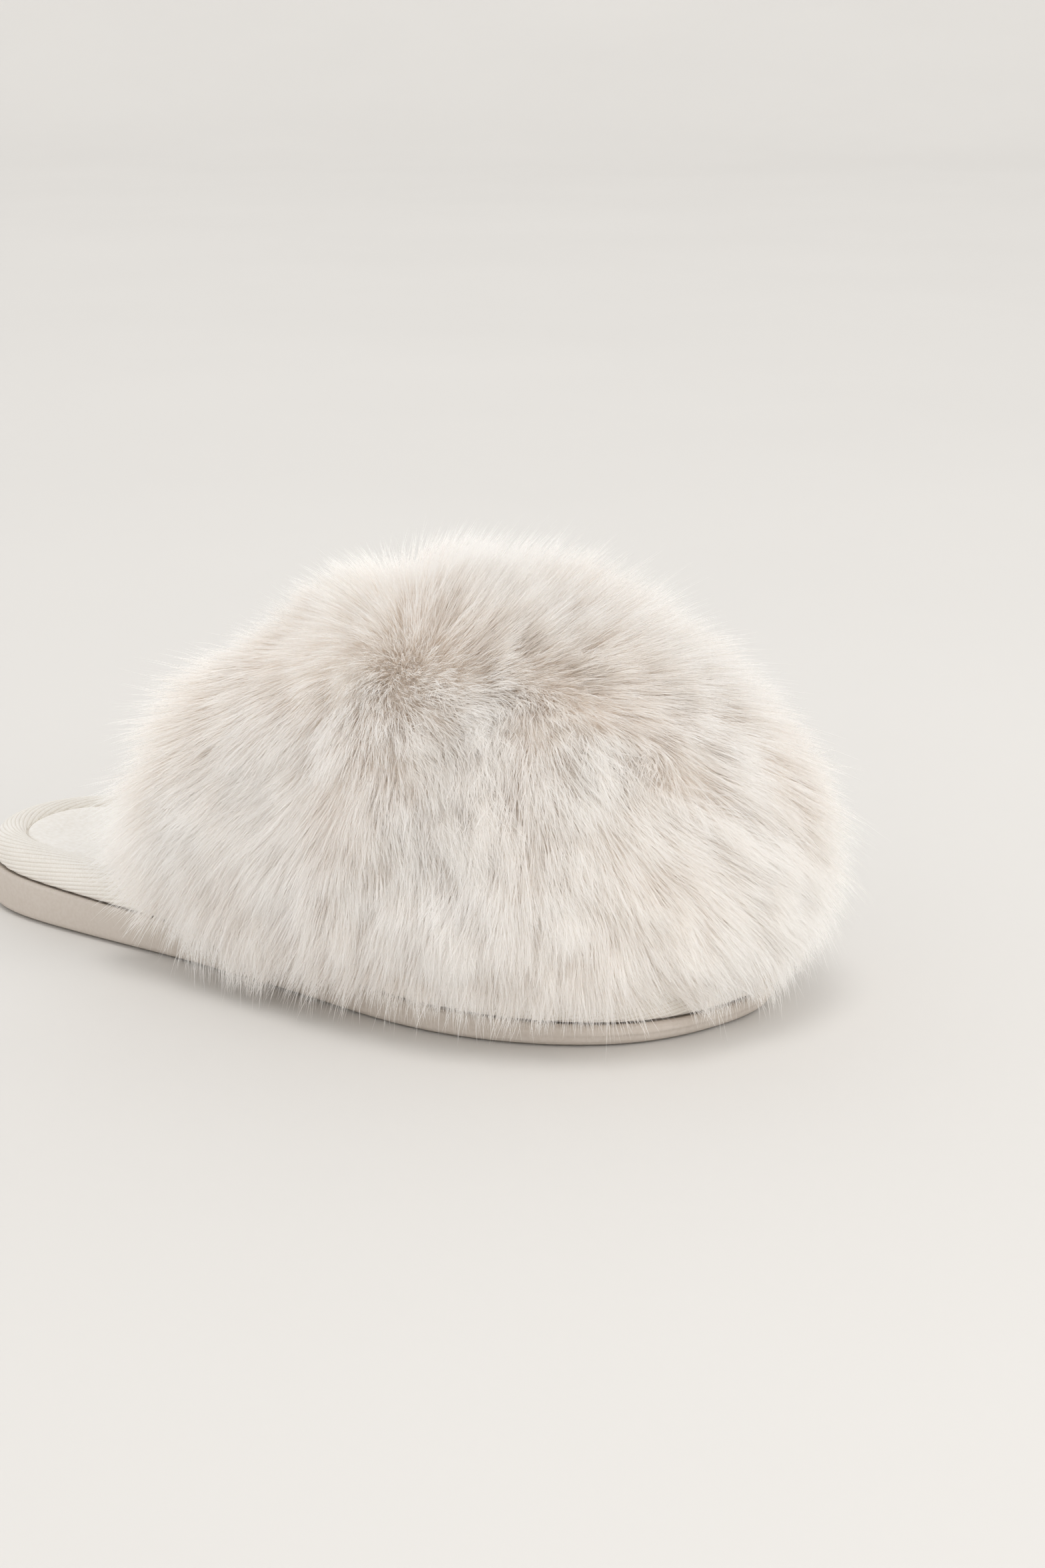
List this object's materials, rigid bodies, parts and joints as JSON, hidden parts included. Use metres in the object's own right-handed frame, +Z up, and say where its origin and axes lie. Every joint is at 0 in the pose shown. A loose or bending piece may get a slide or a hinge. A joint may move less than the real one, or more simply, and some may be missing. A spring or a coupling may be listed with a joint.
{
  "type": "fluffy house slipper",
  "caption": "Backless closed-toe house slipper: moulded outsole, ribbed padded platform, plush footbed and long-pile faux fur upper.",
  "frame": {"origin": "on the floor plane under the centre of the slipper's bounding box", "axes": "+Z up, toe towards -Y, heel towards +Y, the wearer's outer side (lateral) towards -X"},
  "size_m": [0.1366, 0.2873, 0.1266],
  "materials": {
    "outsole": "matt moulded foam rubber, warm light grey",
    "ribbed_fabric": "cream fine-ribbed knit",
    "filler_felt": "pressed felt",
    "board": "fibre board",
    "foam": "open-cell foam, pale yellow",
    "plush": "short-pile plush, cream",
    "fleece": "brushed fleece, cream",
    "knit": "knitted backing cloth",
    "binding": "folded knit tape",
    "faux_fur": "long-pile faux fur, warm white",
    "thread": "polyester sewing thread"
  },
  "bodies": {
    "root": {"outsole": "outsole", "platform_wrap": "ribbed_fabric", "bottom_filler": "filler_felt", "insole_board": "board", "rim_padding": "foam", "memory_foam": "foam", "sock_lining": "plush", "upper_lining": "fleece", "upper_foam": "foam", "fur_backing": "knit", "topline_binding": "binding", "fur_pile": "faux_fur", "sock_stitching": "thread", "feather_seam_thread": "thread", "topline_stitching": "thread"}
  },
  "joints": []
}
